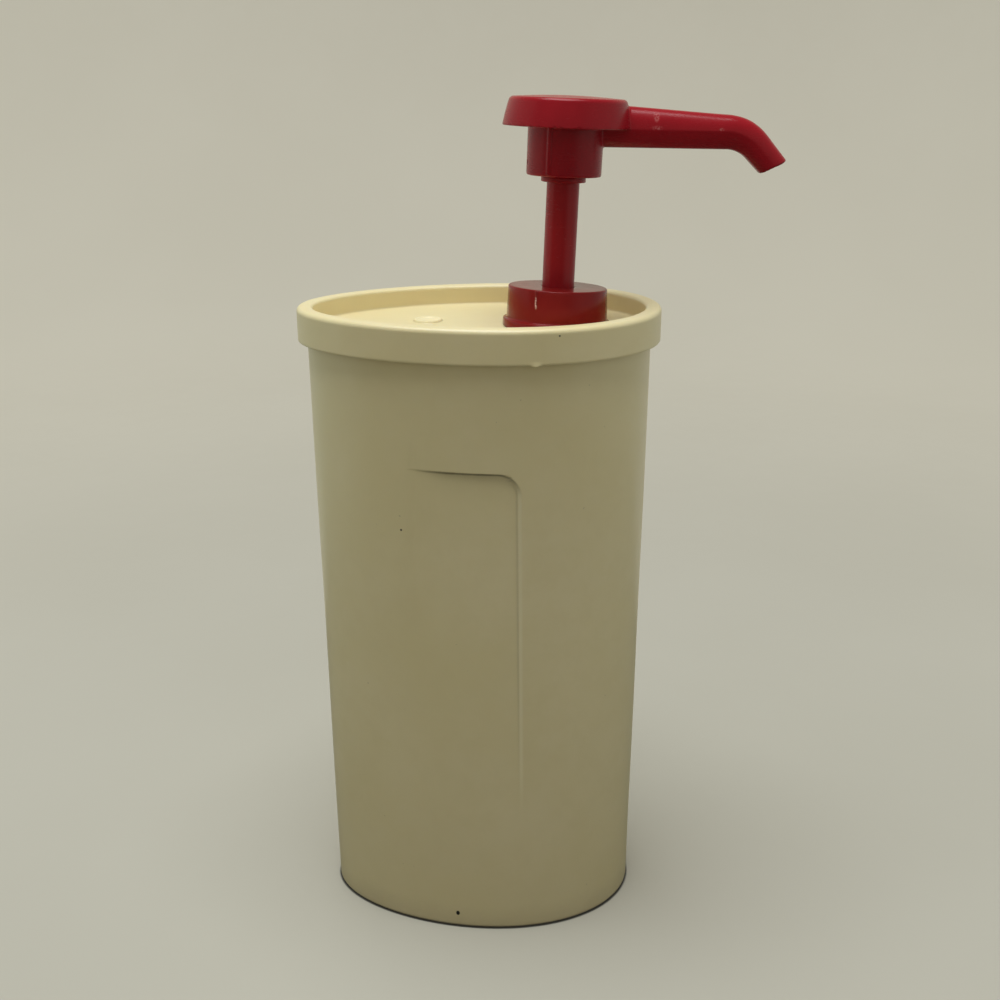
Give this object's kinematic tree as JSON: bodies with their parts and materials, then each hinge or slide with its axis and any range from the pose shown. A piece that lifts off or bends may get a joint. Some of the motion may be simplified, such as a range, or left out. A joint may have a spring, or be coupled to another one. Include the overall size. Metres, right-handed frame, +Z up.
{
  "type": "ketchup pump dispenser",
  "caption": "Oval, egg-sectioned plastic table dispenser with a push-on rimmed lid and a press-down pump whose swivelling arm ends in a down-turned nozzle.",
  "frame": {"origin": "centre of the oval section, on the surface the foot stands on", "axes": "+Z up, +X along the lid from its narrow end to the pump and spout, -Y to the front face with the label panel"},
  "size_m": [0.2241, 0.1142, 0.4051],
  "materials": {
    "ivory_vessel": "worn satin gloss, injection moulded",
    "ivory_lid": "worn satin gloss, injection moulded",
    "red_collar": "gloss",
    "red_rod": "gloss",
    "red_head": "gloss with light scuffs"
  },
  "bodies": {
    "base": {"container": "ivory_vessel", "lid": "ivory_lid", "pump_collar": "red_collar"},
    "plunger": {"pump_rod": "red_rod"},
    "head": {"pump_head": "red_head"}
  },
  "joints": [
    {"name": "pump_stroke", "type": "slide", "parent": "base", "child": "plunger", "axis": [0.0366, 0.0296, 0.9989], "range_m": [-0.0465, 0], "stiffness_N_per_m": 120, "springref_m": 0.025},
    {"name": "head_swivel", "type": "hinge", "parent": "plunger", "child": "head", "pos_m": [0.03612, 0.0004, 0.3027], "axis": [0.0366, 0.0296, 0.9989], "continuous": true}
  ]
}
